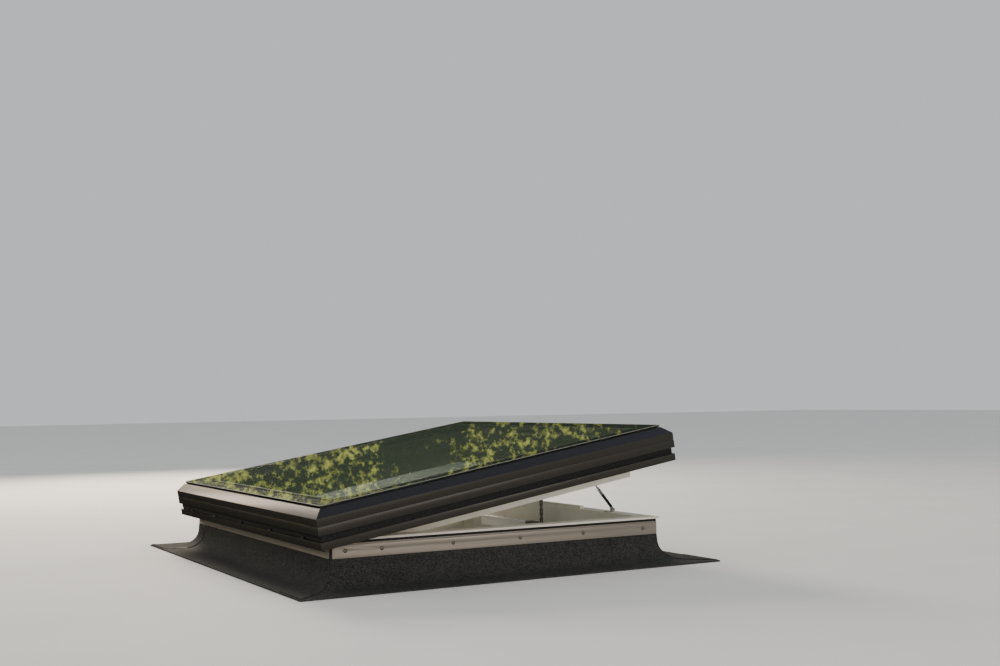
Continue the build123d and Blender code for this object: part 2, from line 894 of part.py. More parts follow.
def spring_cylinder():
    """Tube with its lower eye, its bore and its mouth."""
    foot, run, _, swing = spring_line()
    start, mouth = foot + run * spring_foot, foot + run * spring_length
    bore_start, bore_end = start + run * spring_plug, mouth - run * spring_mouth
    cylinder = spring_eye(foot, start) + bar_between(start, mouth, spring_radius)
    cylinder -= bar_between(bore_start, bore_end, spring_radius - spring_wall)
    cylinder -= bar_between(bore_end, mouth + run, rod_radius + rod_fit)
    pin = bar_between(foot - swing * eye_width, foot + swing * eye_width, spring_pin + spring_pin_fit)
    return cylinder - pin


def spring_rod():
    """Rod with its piston inside the tube."""
    foot, run, length, _ = spring_line()
    inside = foot + run * (spring_length - rod_inside)
    outside = foot + run * (length - rod_end_length + rod_grip)
    piston = bar_between(inside, inside + run * piston_length, spring_radius - spring_wall - rod_fit)
    return bar_between(inside, outside, rod_radius) + piston


def spring_rod_end():
    """Upper eye on the rod, with the pin that runs in the sash's slot."""
    foot, run, length, swing = spring_line()
    top = foot + run * length
    start = foot + run * (length - rod_end_length)
    end = spring_eye(top, start) - bar_between(start, start + run * rod_grip, rod_radius)
    return end + bar_between(top, top + swing * top_pin_reach, spring_pin)


def spring_sash_bracket():
    """Angle under the lining, with the slot that the gas spring's pin runs in."""
    top = spring_top_point(0)
    face = top.X + eye_width / 2 + top_gap
    roof = sash_floor + ceiling
    front, back = top.Y - top_slot_front, top.Y + top_slot_back
    low, high = top.Z - top_slot_down, top.Z + top_slot_up
    outer = face + top_plate
    plate = block(face, front - top_margin, low - top_web, outer, back + top_margin, roof)
    plate -= block(face, front, low, outer, back, high)
    shelf = block(outer - top_shelf, front - top_margin, roof - top_plate, outer, back + top_margin, roof)
    return opened(plate + shelf)


def glass_pieces():
    """Stepped double glazing with its spacer, sealant, gasket and bonding tape."""
    low, high = inner_glass_height + inner_glass, outer_glass_height
    spacer = inner_inset + sealant_width
    return {
        "outer_pane": pane(outer_inset, outer_glass_height, outer_glass),
        "inner_pane": pane(inner_inset, inner_glass_height, inner_glass),
        "bonding_tape": sash_ring(tape_set, tape_set + tape_width, glazing_height, high),
        "edge_sealant": sash_ring(inner_inset, spacer, low, high),
        "spacer_bar": sash_ring(spacer, spacer + spacer_width, low, high),
        "glazing_gasket": sash_ring(bed_set, bed_set + bed_width, rebate_height, inner_glass_height),
    }


def hinge_pieces():
    nodes = {}
    for number, y in enumerate(hinge_places(), 1):
        nodes[f"hinge_frame_leaf_{number}"] = hinge_frame_leaf(y)
        nodes[f"hinge_sash_leaf_{number}"] = hinge_sash_leaf(y)
        nodes[f"hinge_pin_{number}"] = hinge_pin(y)
    frame_seats = [seat for y in hinge_places() for seat in frame_leaf_seats(y)]
    sash_seats = [seat for y in hinge_places() for seat in sash_leaf_seats(y)]
    nodes["hinge_frame_screws"] = [seat * countersunk() for seat in frame_seats]
    nodes["hinge_sash_screws"] = [opened(seat * countersunk()) for seat in sash_seats]
    return nodes


def pieces():
    """Every node's name and shape."""
    nodes = {
        "felt_flashing": felt_flashing(),
        "cant_fillet": cant_fillet(),
        "base_frame": base_frame(),
        "fixing_flange": fixing_flange(),
        "frame_insulation": frame_insulation(),
        "frame_gasket": frame_gasket(),
        "strip_screws": strip_screws(),
        "corner_cleats": corner_cleats(),
        "sash_lining": sash_lining(),
        "sash_seal": sash_seal(),
        "chain_links": chain_links(),
        "chain_head": chain_head(),
        "chain_pin": chain_pin(),
        "chain_bracket": chain_bracket(),
        "actuator_housing": actuator_housing(),
        "actuator_end_cap": actuator_end_cap(),
        "chain_outlet": chain_outlet(),
        "cover_block": cover_block(),
        "spring_foot_bracket": spring_foot_bracket(),
        "spring_foot_stud": spring_foot_stud(),
        "spring_cylinder": spring_cylinder(),
        "spring_rod": spring_rod(),
        "spring_rod_end": spring_rod_end(),
        "spring_sash_bracket": spring_sash_bracket(),
    }
    nodes.update(glass_pieces())
    nodes.update(hinge_pieces())
    for name in strip_runs():
        nodes["clamp_strip_" + name] = clamp_strip(name)
    for name, profile in sash_profiles().items():
        nodes["sash_profile_" + name] = opened(profile)
    near_end = chain_y() - outlet_before + cradle_from_end
    far_end = outlet_end() + housing_length - cradle_from_end
    for number, y in enumerate((near_end, far_end), 1):
        nodes[f"actuator_bracket_{number}"] = actuator_bracket(y)
    return nodes


os.makedirs("parts", exist_ok=True)
for node, shape in pieces().items():
    whole = Compound(children=shape) if isinstance(shape, list) else shape
    export_step(whole, f"parts/{node}.step")
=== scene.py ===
import json
from math import atan2, cos, radians, sin, tau

import bpy
from bpy.props import FloatProperty, FloatVectorProperty, PointerProperty, StringProperty
from mathutils import Matrix, Vector


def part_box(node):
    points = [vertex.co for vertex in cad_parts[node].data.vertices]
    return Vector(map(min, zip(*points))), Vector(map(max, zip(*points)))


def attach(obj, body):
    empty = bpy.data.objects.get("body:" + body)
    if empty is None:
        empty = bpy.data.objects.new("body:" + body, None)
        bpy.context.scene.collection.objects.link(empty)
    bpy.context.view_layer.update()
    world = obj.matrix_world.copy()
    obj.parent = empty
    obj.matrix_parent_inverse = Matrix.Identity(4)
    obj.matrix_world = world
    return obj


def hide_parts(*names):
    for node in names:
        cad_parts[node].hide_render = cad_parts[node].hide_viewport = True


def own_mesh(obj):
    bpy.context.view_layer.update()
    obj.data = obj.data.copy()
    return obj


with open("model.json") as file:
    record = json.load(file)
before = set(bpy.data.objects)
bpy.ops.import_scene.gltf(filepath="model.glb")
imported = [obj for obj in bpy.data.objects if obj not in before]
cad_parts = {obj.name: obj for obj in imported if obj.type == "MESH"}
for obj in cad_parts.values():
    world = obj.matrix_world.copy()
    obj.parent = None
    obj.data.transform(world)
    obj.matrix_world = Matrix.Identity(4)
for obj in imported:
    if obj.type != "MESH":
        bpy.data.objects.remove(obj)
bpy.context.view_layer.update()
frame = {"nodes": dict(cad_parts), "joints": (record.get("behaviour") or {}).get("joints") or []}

bl_info = {
    "name": "Roof skylight",
    "version": (1, 0, 0),
    "blender": (4, 5, 0),
    "location": "3D View > Sidebar > Skylight",
    "description": "Dresses an opening skylight: felt, kerb, strips, sash, glass, hinges and lift",
    "category": "Add Mesh",
}

MM = 0.001
NODES = frame["nodes"]
JOINTS = {joint["name"]: joint for joint in frame["joints"]}
HINGE = Vector(JOINTS["sash_hinge"]["pos_m"])
OPENING = radians(-JOINTS["sash_hinge"]["range_deg"][0])
SIDES = ("front", "opening_side", "back", "hinge_side")
CORNERS = ((-1, -1), (-1, 1), (1, -1), (1, 1))

# Millimetres that the pieces share with the solids they sit on
FELT = 4.0  # thickness
APRON = 138.0  # felt's reach over the ground, out from the strips
STRIP_FOOT = 83.0  # lower edge of the strips
STRIP_DEEP = 3.0  # thickness of a strip
FLARE_DROP = 25.0  # straight felt between a strip and its curve
FLARE_LEAN = 2.0  # how far that stretch leans out
FRAME_WIDTH = 46.0  # frame's top, from the strips inwards
SCREW_HEAD = 3.0  # strip screw's head, out from the strip
HINGE_SCREW = 6.4  # length of a hinge screw
CRADLE = 3.0  # thickness of the actuator's brackets
BRACKET_PLATE = 3.0  # thickness of the chain's bracket
CHAIN_Y = -78.5  # chain's place along the opening side
SPRING_LENGTH = 104.0  # gas spring's tube, from its pin to its mouth
LINK_END = 5.0  # radius of a chain link's ends
LINK_WAIST = 3.7  # half width of a link at its middle
LINKS = 11

# Sash, in millimetres from its outer face and its lower edge as it lies shut
SASH_FLOOR = 119.4  # lower edge above the ground
SASH_HALF_X = 602.4
LINING_INNER = 126.5  # inner face of the white lining
PANE_SET = 27.0  # edge of the outer pane
PANE_LOW = 110.6  # underside of the outer pane
PANE = 6.0  # thickness of the outer pane
BULB = (59.5, 23.2)  # middle of the seal's bulb
LEDGE = (9.9, 21.4)  # foot of the drain caps on the recess's ledge

HALF_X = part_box("clamp_strip_opening_side")[1].x / MM
HALF_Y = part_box("clamp_strip_back")[1].y / MM
SASH_HALF_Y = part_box("sash_profile_back")[1].y / MM


# Sizes and colours that a user would change


class SkylightSizes(bpy.types.PropertyGroup):
    """Real sizes of the details, in metres."""

    granule: FloatProperty(
        name="Granule", description="Width of the felt's mineral granules", default=2.6 * MM, unit="LENGTH"
    )
    lap_width: FloatProperty(
        name="Lap", description="Width of the felt's corner laps", default=62 * MM, unit="LENGTH"
    )
    lap_height: FloatProperty(
        name="Lap height", description="Thickness of a lap's edge", default=2.4 * MM, unit="LENGTH"
    )
    die_line: FloatProperty(
        name="Die line", description="Spacing of the lines along a strip", default=1.6 * MM, unit="LENGTH"
    )
    peel: FloatProperty(
        name="Peel", description="Width of the powder coat's ripples", default=2.0 * MM, unit="LENGTH"
    )
    enamel: FloatProperty(
        name="Enamel", description="Width of the enamel along the pane", default=46 * MM, unit="LENGTH"
    )
    weld: FloatProperty(
        name="Weld", description="Width of the plastic's weld beads", default=1.6 * MM, unit="LENGTH"
    )
    spangle: FloatProperty(
        name="Spangle", description="Width of the zinc crystals", default=5 * MM, unit="LENGTH"
    )


class SkylightColours(bpy.types.PropertyGroup):
    """Surface colours as sRGB hex values."""

    felt_dark: StringProperty(name="Felt, dark", description="Darkest granules", default="#111212")
    felt_light: StringProperty(name="Felt, light", description="Lightest granules", default="#4a4a47")
    plastic: StringProperty(name="Plastic", description="Kerb, frame and lining", default="#f0ebdc")
    strip: StringProperty(name="Strips", description="Natural anodised aluminium", default="#ada59a")
    coat: StringProperty(name="Sash", description="Powder-coated aluminium", default="#3d3a35")
    glass: StringProperty(name="Glass", description="Tint of the panes", default="#dcebe4")
    housing: StringProperty(name="Actuator", description="Coated actuator housing", default="#dedcd6")
    outlet: StringProperty(name="Outlet", description="Moulded ends of the actuator", default="#4b4a49")


class SkylightStudio(bpy.types.PropertyGroup):
    """Camera and light."""

    lens: FloatProperty(
        name="Lens", description="Focal length on a 36 mm sensor", default=44.92, unit="CAMERA"
    )
    place: FloatVectorProperty(
        name="Camera", description="Place of the camera", default=(-1.8354, -3.8212, 0.5109), subtype="XYZ"
    )
    yaw: FloatProperty(name="Yaw", description="Turn to the right of +Y", default=0.5187, subtype="ANGLE")
    pitch: FloatProperty(name="Pitch", description="Tilt above the level", default=0.0533, subtype="ANGLE")
    roll: FloatProperty(
        name="Roll", description="Turn about the line of sight", default=-0.0132, subtype="ANGLE"
    )
    key: FloatProperty(
        name="Key light", description="Soft box behind the skylight", default=210.0, unit="POWER"
    )
    rim: FloatProperty(
        name="Rim light", description="Soft box behind the hinge side", default=42.0, unit="POWER"
    )
    fill: FloatProperty(
        name="Fill light", description="Soft box in front of the skylight", default=58.0, unit="POWER"
    )
    floor: StringProperty(name="Floor", description="Colour of the floor", default="#f5f4f1")


def sizes():
    """The detail sizes that the panel shows."""
    return bpy.context.scene.skylight_sizes


def colours():
    """The surface colours that the panel shows."""
    return bpy.context.scene.skylight_colours


# Materials


def linear(code):
    """Linear RGBA of an sRGB hex value."""
    channels = [int(code[i:i + 2], 16) / 255 for i in (1, 3, 5)]
    return [c / 12.92 if c <= 0.04045 else ((c + 0.055) / 1.055) ** 2.4 for c in channels] + [1.0]


def per(size):
    """Scale of a pattern in object space whose cells are this wide, in metres."""
    return 1 / size


def add(tree, kind, sockets=None, links=None, into=None, stops=(), **settings):
    """Adds a node with its settings, socket values and colour stops, and links it to what feeds it and to
    what it goes into."""
    node = tree.nodes.new(kind)
    for name, value in settings.items():
        setattr(node, name, value)
    for name, value in (sockets or {}).items():
        node.inputs[name].default_value = value
    for name, (source, output) in (links or {}).items():
        tree.links.new(source.outputs[output], node.inputs[name])
    for output, (target, name) in (into or {}).items():
        tree.links.new(node.outputs[output], target.inputs[name])
    for i, (position, code) in enumerate(stops):
        node.color_ramp.elements[i].position = position
        node.color_ramp.elements[i].color = linear(code)
    return node


def new_material(name, **surface):
    """Material with a Principled surface: returns it, its node tree and that node."""
    material = bpy.data.materials.new(name)
    material.use_nodes = True
    tree = material.node_tree
    shader = tree.nodes["Principled BSDF"]
    for socket, value in surface.items():
        shader.inputs[socket.replace("_", " ")].default_value = value
    return material, tree, shader


def dress(tree, shader, pattern, output, stops, gloss=None, relief=None):
    """Lets a pattern drive a surface: its colour between two stops, its roughness between two values, and
    its relief by a strength and a height in millimetres."""
    source = (pattern, output)
    colour = {"Color": (shader, "Base Color")}
    add(tree, "ShaderNodeValToRGB", links={"Fac": source}, into=colour, stops=stops)
    if gloss:
        limits = {"To Min": gloss[0], "To Max": gloss[1]}
        add(tree, "ShaderNodeMapRange", limits, {"Value": source}, {"Result": (shader, "Roughness")})
    if relief:
        bumps = {"Strength": relief[0], "Distance": relief[1] * MM}
        add(tree, "ShaderNodeBump", bumps, {"Height": source}, {"Normal": (shader, "Normal")})


def mineral_felt():
    """Bitumen felt faced with slate granules: each granule has its own grey and stands out a little."""
    material, tree, shader = new_material("bitumen_felt_mineral_faced", Roughness=0.93)
    place = {"Vector": (add(tree, "ShaderNodeTexCoord"), "Object")}
    granules = add(tree, "ShaderNodeTexVoronoi", {"Scale": per(sizes().granule)}, place)
    broad = {"Scale": per(90 * MM), "Detail": 5.0, "Roughness": 0.6}
    patches = add(tree, "ShaderNodeTexNoise", broad, place)
    both = {"A": (granules, "Color"), "B": (patches, "Color")}
    shade = add(tree, "ShaderNodeMix", {"Factor": 0.35}, both, data_type="RGBA")
    value = add(tree, "ShaderNodeRGBToBW", links={"Color": (shade, "Result")})
    dress(tree, shader, value, "Val", ((0.2, colours().felt_dark), (0.8, colours().felt_light)))
    grit = {"Strength": 0.7, "Distance": 1.2 * MM}
    add(tree, "ShaderNodeBump", grit, {"Height": (granules, "Distance")}, {"Normal": (shader, "Normal")})
    return material


def white_plastic():
    """Welded PVC section: extruded, so satin and smooth, with a faint cloudiness and no grain."""
    material, tree, shader = new_material("pvc_extruded_satin", Roughness=0.38)
    place = {"Vector": (add(tree, "ShaderNodeTexCoord"), "Object")}
    cloud = add(tree, "ShaderNodeTexNoise", {"Scale": per(60 * MM), "Detail": 3.0}, place)
    dress(tree, shader, cloud, "Fac", ((0.3, "#e6e0cf"), (0.6, colours().plastic)), gloss=(0.32, 0.46))
    fine = add(tree, "ShaderNodeTexNoise", {"Scale": per(3 * MM), "Detail": 2.0}, place)
    waves = {"Strength": 0.12, "Distance": 0.2 * MM}
    add(tree, "ShaderNodeBump", waves, {"Height": (fine, "Fac")}, {"Normal": (shader, "Normal")})
    return material


def strip_aluminium():
    """Natural anodised extrusion: die lines along it break up a soft metallic sheen. The noise is drawn
    out along the bar, and its lines are as coarse as they need to be to show."""
    material, tree, shader = new_material("aluminium_anodised_natural", Metallic=0.6, Roughness=0.42)
    place = {"Vector": (add(tree, "ShaderNodeTexCoord"), "Object")}
    along = add(tree, "ShaderNodeMapping", {"Scale": (0.012, 0.012, 1.0)}, place)
    fine = {"Scale": per(sizes().die_line), "Detail": 4.0, "Roughness": 0.7}
    lines = add(tree, "ShaderNodeTexNoise", fine, {"Vector": (along, "Vector")})
    stops = ((0.3, "#a39b90"), (0.6, colours().strip))
    dress(tree, shader, lines, "Fac", stops, gloss=(0.34, 0.52), relief=(0.1, 0.1))
    return material


def dark_powder_coat():
    """Aluminium with a dark powder coat: satin, with a faint orange peel, drawn coarse enough to show."""
    surface = {"Metallic": 0.3, "Roughness": 0.38, "Coat_Weight": 0.35, "Coat_Roughness": 0.22}
    material, tree, shader = new_material("aluminium_powder_coated_satin", **surface)
    place = {"Vector": (add(tree, "ShaderNodeTexCoord"), "Object")}
    peel = add(tree, "ShaderNodeTexNoise", {"Scale": per(sizes().peel), "Detail": 2.0}, place)
    dress(tree, shader, peel, "Fac", ((0.35, "#33302c"), (0.65, colours().coat)), relief=(0.18, 0.12))
    return material


def clear_glass():
    """Float glass: smooth and clear, with a green tint that deepens where it is seen edge on."""
    surface = {"Roughness": 0.0, "IOR": 1.52, "Transmission_Weight": 1.0}
    material, tree, shader = new_material("float_glass_clear", **surface)
    facing = add(tree, "ShaderNodeLayerWeight", {"Blend": 0.35})
    dress(tree, shader, facing, "Facing", ((0.1, "#f3f8f5"), (0.9, colours().glass)))
    return material


def black_enamel():
    """Ceramic enamel fired on the underside of the pane: deep black and glossy."""
    material, tree, shader = new_material("ceramic_enamel_fired", Roughness=0.22)
    place = {"Vector": (add(tree, "ShaderNodeTexCoord"), "Object")}
    speck = add(tree, "ShaderNodeTexNoise", {"Scale": per(2 * MM), "Detail": 2.0}, place)
    dress(tree, shader, speck, "Fac", ((0.35, "#08090a"), (0.65, "#121314")))
    return material


def stainless_steel():
    """Stainless steel, pressed and tumbled: bright with soft scuffs."""
    material, tree, shader = new_material("stainless_steel_tumbled", Metallic=1.0, Roughness=0.3)
    place = {"Vector": (add(tree, "ShaderNodeTexCoord"), "Object")}
    scuff = add(tree, "ShaderNodeTexNoise", {"Scale": per(4 * MM), "Detail": 5.0}, place)
    dress(tree, shader, scuff, "Fac", ((0.35, "#a39f9b"), (0.65, "#c9c6c2")), gloss=(0.22, 0.45))
    return material


def galvanized_steel():
    """Hot-dip zinc on steel: flat crystals of slightly different greys."""
    material, tree, shader = new_material("steel_galvanized", Metallic=0.9, Roughness=0.42)
    place = {"Vector": (add(tree, "ShaderNodeTexCoord"), "Object")}
    crystals = add(tree, "ShaderNodeTexVoronoi", {"Scale": per(sizes().spangle)}, place)
    value = add(tree, "ShaderNodeRGBToBW", links={"Color": (crystals, "Color")})
    dress(tree, shader, value, "Val", ((0.2, "#85898c"), (0.8, "#a9adb0")), gloss=(0.32, 0.52))
    return material


def mottled(name, dark, light, surface, grain, relief=(0.15, 0.1)):
    """Surface whose colour and relief vary with a fine grain, in millimetres."""
    material, tree, shader = new_material(name, **surface)
    place = {"Vector": (add(tree, "ShaderNodeTexCoord"), "Object")}
    mottle = add(tree, "ShaderNodeTexNoise", {"Scale": per(grain * MM), "Detail": 4.0}, place)
    dress(tree, shader, mottle, "Fac", ((0.35, dark), (0.65, light)), relief=relief)
    return material


def black_rubber():
    """EPDM rubber: extruded, near black, dull with a fine bloom."""
    return mottled("epdm_rubber_extruded", "#0e0e0f", "#232324", {"Roughness": 0.7}, 7, (0.2, 0.2))


def bitumen():
    """Bitumen that oozed out of a torched lap: black, smooth and a little shiny."""
    return mottled("bitumen_torched", "#0d0d0e", "#1c1b1b", {"Roughness": 0.38}, 6)


def weld_plastic():
    """PVC melted and scraped at a weld or pressed into a cap: a little glossier than the section."""
    return mottled("pvc_welded_smooth", "#e9e1d3", "#f2ebdf", {"Roughness": 0.3}, 4)


def dull_steel():
    """Stainless screw heads, greyed by the weather to a dull sheen."""
    surface = {"Metallic": 0.85, "Roughness": 0.48}
    return mottled("steel_screw_weathered", "#8d857e", "#aea69e", surface, 1.5)


def ground_edge():
    """Ground and seamed edge of float glass: frosted, pale green."""
    return mottled("float_glass_ground_edge", "#6f7469", "#94988b", {"Roughness": 0.45}, 1.5)


def chain_steel():
    """Phosphated and oiled steel: brown grey with an oily sheen."""
    surface = {"Metallic": 0.8, "Roughness": 0.34}
    return mottled("steel_phosphated_oiled", "#5c5854", "#88837d", surface, 2)


def housing_coat():
    """Aluminium housing with a pale powder coat: satin, with a fine peel."""
    return mottled("aluminium_powder_coated_pale", "#cfccc5", colours().housing, {"Roughness": 0.4}, 2.5)


def moulded_grey():
    """Glass-filled nylon from a spark-eroded mould: dark and matt with a fine texture."""
    return mottled("nylon_moulded_grey", "#3c3b3a", colours().outlet, {"Roughness": 0.55}, 1.2)


def black_paint():
    """Stoved black paint on a steel tube: smooth and glossy."""
    surface = {"Roughness": 0.22, "Coat_Weight": 0.5}
    return mottled("steel_tube_black_painted", "#0c0c0d", "#161617", surface, 6)


def hard_chrome():
    """Ground and chromed piston rod: a bright mirror with a hint of the grinding."""
    surface = {"Metallic": 1.0, "Roughness": 0.12}
    return mottled("steel_rod_hard_chromed", "#c4c6c8", "#d8d9da", surface, 5)


def zinc_flake():
    """Pale zinc-flake paint: matt, with a slight metallic glint."""
    surface = {"Metallic": 0.2, "Roughness": 0.5}
    return mottled("steel_zinc_flake_pale", "#c2c0ba", "#d3d1cb", surface, 2)


def cast_aluminium():
    """Die-cast corner keys: dull, slightly grainy."""
    surface = {"Metallic": 0.9, "Roughness": 0.55}
    return mottled("aluminium_die_cast", "#8c8c8c", "#a5a5a5", surface, 1.5)


def spacer_aluminium():
    """Bright folded spacer between the panes: a clean rolled sheen."""
    surface = {"Metallic": 1.0, "Roughness": 0.35}
    return mottled("aluminium_spacer_bright", "#9c9c9a", "#b5b5b3", surface, 1.5)


def mineral_wool():
    """Pressed mineral wool board: dull, yellow brown and fibrous."""
    return mottled("mineral_wool_board", "#8a7a48", "#b8a566", {"Roughness": 0.95}, 3)


def fillet_board():
    """Pressed wood fibre board: dull and brown."""
    return mottled("wood_fibre_board", "#7b6244", "#a3845e", {"Roughness": 0.9}, 3)


# Shapes


def new_piece(name, vertices, faces, body, slot, recipe, smooth=False):
    """A mesh object that rides on a body, with a material; its slot argument is not used."""
    mesh = bpy.data.meshes.new(name)
    mesh.from_pydata([tuple(v) for v in vertices], [], faces)
    mesh.validate()
    piece = bpy.data.objects.new(name, mesh)
    bpy.context.scene.collection.objects.link(piece)
    if smooth:
        mesh.shade_smooth()
    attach(piece, body)
    return coat(piece, recipe)


def joined(meshes):
    """One list of vertices and one of faces from several."""
    vertices, faces = [], []
    for points, sides in meshes:
        first = len(vertices)
        vertices += points
        faces += [[first + i for i in side] for side in sides]
    return vertices, faces


def moved(mesh, matrix):
    """A mesh's vertices through a matrix, with its faces."""
    points, sides = mesh
    return [matrix @ Vector(p) for p in points], sides


def closed(point):
    """Where a point of the closed sash, in millimetres, stands with the sash open."""
    x, y, z = [v * MM for v in point]
    dx, dz = x - HINGE.x, z - HINGE.z
    c, s = cos(OPENING), sin(OPENING)
    return Vector((HINGE.x + dx * c - dz * s, y, HINGE.z + dx * s + dz * c))


def loft(rings, shut=False):
    """Skin over rings of as many points each: capped, or with the last ring joined to the first."""
    count = len(rings[0])
    vertices = [p for ring in rings for p in ring]
    faces = []
    for i in range(len(rings) if shut else len(rings) - 1):
        a, b = i * count, (i + 1) % len(rings) * count
        faces += [[a + j, a + (j + 1) % count, b + (j + 1) % count, b + j] for j in range(count)]
    if not shut:
        faces += [list(range(count))[::-1], [len(vertices) - count + j for j in range(count)]]
    return vertices, faces


def framed(section, half_x, half_y):
    """A section of (depth, height) swept round a mitred rectangle of half sizes, all in millimetres."""
    rings = []
    for i, j in ((-1, -1), (1, -1), (1, 1), (-1, 1)):
        rings.append([(i * (half_x - depth), j * (half_y - depth), height) for depth, height in section])
    return loft(rings, shut=True)


def lathe(profile, segments, lobes=(), hollow=False):
    """A profile of (radius, height) turned about Z; the radii of the rows in lobes swing in six.
    A hollow one is a ring, whose last row meets its first."""
    rings = []
    for k, (radius, height) in enumerate(profile):
        ring = []
        for i in range(segments):
            angle = tau * i / segments
            reach = radius * (1 + 0.16 * cos(6 * angle)) if k in lobes else radius
            ring.append((reach * cos(angle), reach * sin(angle), height))
        rings.append(ring)
    return loft(rings, shut=hollow)


def upright(direction, place):
    """Matrix that turns +Z to a direction and moves the origin to a place in metres."""
    turn = Vector(direction).to_track_quat("Z", "Y").to_matrix().to_4x4()
    return Matrix.Translation(place) @ turn @ Matrix.Scale(MM, 4)


def plate(outline, low, high, edge):
    """An outline of (x, y) drawn up between two heights, with its rims drawn in by an edge."""
    middle = [sum(p[k] for p in outline) / len(outline) for k in (0, 1)]
    reach = max(Vector(p).length for p in [(x - middle[0], y - middle[1]) for x, y in outline])
    small = [[m + (v - m) * (1 - edge / reach) for v, m in zip(p, middle)] for p in outline]
    levels = [(small, low), (outline, low + edge), (outline, high - edge), (small, high)]
    return loft([[(x, y, z) for x, y in points] for points, z in levels])


def arc(x, y, radius, first, last, steps):
    """Points on an arc between two angles in degrees."""
    angles = [radians(first + (last - first) * i / steps) for i in range(steps + 1)]
    return [(x + radius * cos(a), y + radius * sin(a)) for a in angles]


def soften(name, width):
    """Rounds a CAD node's edges by a width in millimetres, so that they catch the light as real ones do."""
    node = NODES[name]
    weld = node.modifiers.new("weld", "WELD")
    weld.merge_threshold = 0.005 * MM
    flat = node.modifiers.new("flat", "DECIMATE")
    flat.decimate_type = "DISSOLVE"
    flat.angle_limit = radians(1.0)
    edge = node.modifiers.new("edge", "BEVEL")
    edge.width = width * MM
    edge.segments = 2
    edge.limit_method = "ANGLE"
    edge.angle_limit = radians(32)
    edge.harden_normals = True
    node.data.shade_smooth()


MATERIALS = {}


def finish(recipe):
    """The material that a recipe makes, made once."""
    if recipe not in MATERIALS:
        MATERIALS[recipe] = recipe()
    return MATERIALS[recipe]


def coat(target, recipe):
    """Gives a CAD node or a piece one material."""
    piece = NODES[target] if isinstance(target, str) else target
    piece.data.materials.clear()
    piece.data.materials.append(finish(recipe))
    return piece


# Stage


def camera_axes(studio):
    """Right, up and forward of the camera."""
    yaw, pitch, roll = studio.yaw, studio.pitch, studio.roll
    forward = Vector((sin(yaw) * cos(pitch), cos(yaw) * cos(pitch), sin(pitch)))
    level = Vector((cos(yaw), -sin(yaw), 0))
    rise = level.cross(forward)
    right = level * cos(roll) + rise * sin(roll)
    up = rise * cos(roll) - level * sin(roll)
    return right, up, forward


def add_camera():
    """Camera at its place, with its axes as columns of its matrix."""
    studio = bpy.context.scene.skylight_studio
    data = bpy.data.cameras.new("camera")
    data.lens = studio.lens
    data.sensor_width = 36
    data.clip_end = 100
    camera = bpy.data.objects.new("camera", data)
    right, up, forward = camera_axes(studio)
    turn = Matrix((right, up, -forward)).transposed().to_4x4()
    camera.matrix_world = Matrix.Translation(studio.place) @ turn
    bpy.context.scene.collection.objects.link(camera)
    bpy.context.scene.camera = camera


def add_softbox(name, place, width, height, power, code):
    """Soft box that faces the skylight, left out of the picture itself."""
    data = bpy.data.lights.new(name, "AREA")
    data.shape = "RECTANGLE"
    data.size = width
    data.size_y = height
    data.energy = power
    data.color = linear(code)[:3]
    data.spread = radians(160)
    lamp = bpy.data.objects.new(name, data)
    lamp.location = place
    lamp.rotation_euler = (Vector((0, 0, 0.2)) - Vector(place)).to_track_quat("-Z", "Y").to_euler()
    lamp.visible_camera = False
    bpy.context.scene.collection.objects.link(lamp)


